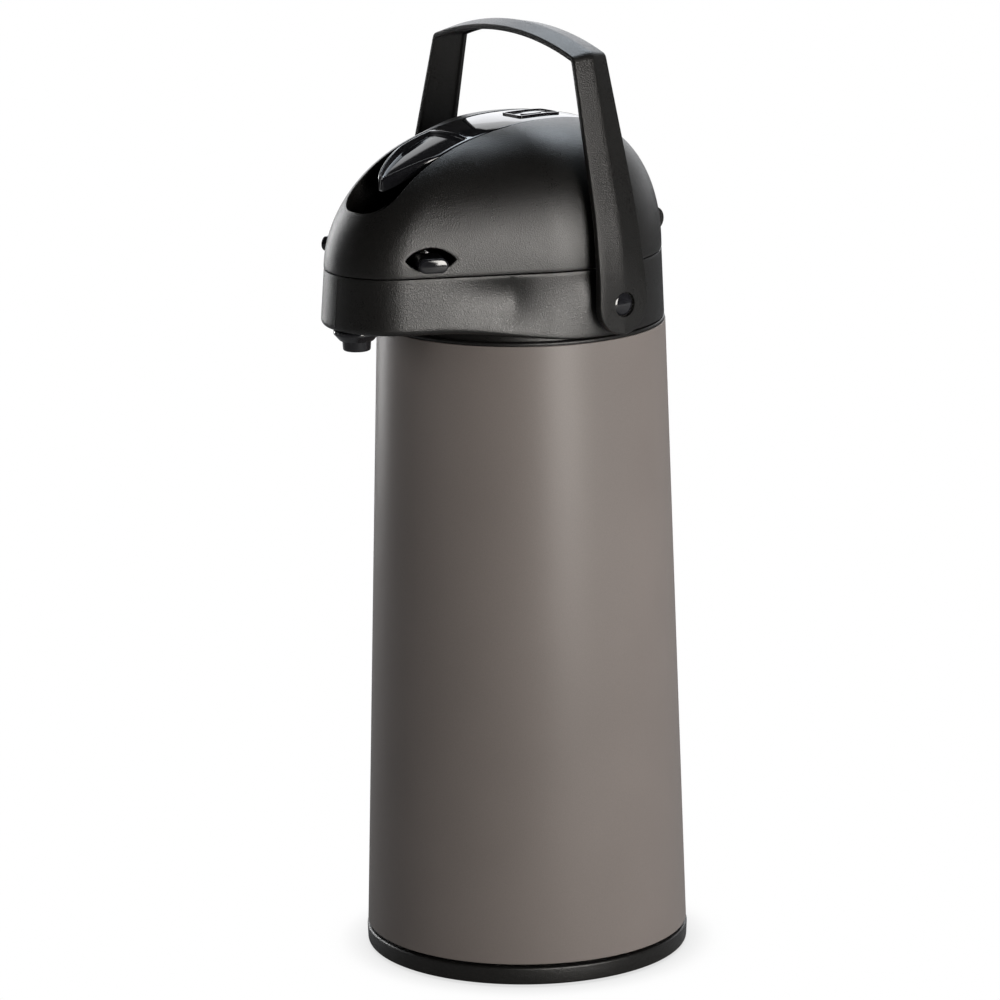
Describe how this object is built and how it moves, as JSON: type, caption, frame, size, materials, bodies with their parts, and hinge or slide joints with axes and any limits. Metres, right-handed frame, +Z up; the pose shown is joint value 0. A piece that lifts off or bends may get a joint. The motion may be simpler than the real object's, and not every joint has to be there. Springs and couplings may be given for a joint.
{
  "type": "thermal coffee airpot",
  "caption": "Tapered vacuum airpot on a swivel base, with a spouted pump head, a press lever in its hinged lid, two pinch releases and a bail handle.",
  "frame": {"origin": "centre of the flat underside of the foot pad, on the pot's axis", "axes": "+Z up along the pot's axis, -Y towards the spout nose, +X to the pot's left as seen from the spout"},
  "size_m": [0.1414, 0.1707, 0.4065],
  "materials": {
    "textured_plastic": "fine-grained black moulded plastic",
    "gloss_plastic": "polished black moulded plastic",
    "painted_shell": "satin taupe-grey paint on thin sheet steel",
    "inner_plastic": "plain dark moulded plastic",
    "white_plastic": "natural white food-grade plastic",
    "silver_glass": "silvered vacuum-flask glass",
    "rubber": "soft black rubber",
    "silicone": "translucent grey silicone",
    "steel": "plain steel"
  },
  "bodies": {
    "base": {"base_ring": "textured_plastic", "foot_pad": "rubber", "glide_ring": "white_plastic", "swivel_screw": "steel", "swivel_washer": "steel"},
    "pot": {"bottom_cap": "inner_plastic", "flask_cushion": "rubber", "flask_outer": "silver_glass", "flask_inner": "silver_glass", "neck_gasket": "silicone", "outer_shell": "painted_shell", "shoulder_ring": "textured_plastic", "head_collar": "textured_plastic", "mouth_funnel": "inner_plastic", "stopper": "white_plastic", "stopper_gasket": "silicone", "dip_tube": "white_plastic", "outlet_duct": "white_plastic", "spout_seal": "silicone", "spout_nozzle": "gloss_plastic", "hinge_pin": "steel", "handle_pin_left": "gloss_plastic", "handle_pin_right": "gloss_plastic"},
    "lid": {"lid_shell": "textured_plastic", "lid_plate": "inner_plastic", "air_port_gasket": "silicone", "check_valve_disc": "silicone", "lid_screw_1": "steel", "lid_screw_2": "steel", "lid_screw_3": "steel", "lid_screw_4": "steel", "lever_pin": "steel", "bellows": "silicone", "bellows_spring": "steel", "button_spring_left": "steel", "button_spring_right": "steel"},
    "lever": {"press_lever": "gloss_plastic", "lever_label_plate": "textured_plastic"},
    "plunger": {"plunger": "inner_plastic"},
    "button_left": {"release_button_left": "gloss_plastic"},
    "button_right": {"release_button_right": "gloss_plastic"},
    "handle": {"carry_handle": "textured_plastic"}
  },
  "joints": [
    {"name": "base_swivel", "type": "hinge", "parent": "base", "child": "pot", "pos_m": [0, 0, 0.01], "axis": [0, 0, 1], "continuous": true},
    {"name": "lid_open", "type": "hinge", "parent": "pot", "child": "lid", "pos_m": [0, 0.0666, 0.3142], "axis": [-1, 0, 0], "range_deg": [0, 70]},
    {"name": "handle_swing", "type": "hinge", "parent": "pot", "child": "handle", "pos_m": [0, 0, 0.294], "axis": [-1, 0, 0], "range_deg": [0, 106]},
    {"name": "lever_press", "type": "hinge", "parent": "lid", "child": "lever", "pos_m": [0, 0.04, 0.345], "axis": [1, 0, 0], "range_deg": [0, 12]},
    {"name": "plunger_stroke", "type": "slide", "parent": "lid", "child": "plunger", "axis": [0, 0, -1], "range_m": [0, 0.0092], "deforming": ["bellows", "bellows_spring"]},
    {"name": "button_left_press", "type": "slide", "parent": "lid", "child": "button_left", "axis": [0.8918, 0.4525, 0], "range_m": [0, 0.0035], "deforming": ["button_spring_left"]},
    {"name": "button_right_press", "type": "slide", "parent": "lid", "child": "button_right", "axis": [-0.8918, 0.4525, 0], "range_m": [0, 0.0035], "deforming": ["button_spring_right"]}
  ],
  "couplings": [
    {"joint": "handle_swing", "follows": "lid_open", "ratio": 1.5},
    {"joint": "plunger_stroke", "follows": "lever_press", "m_per_rad": 0.0435}
  ]
}
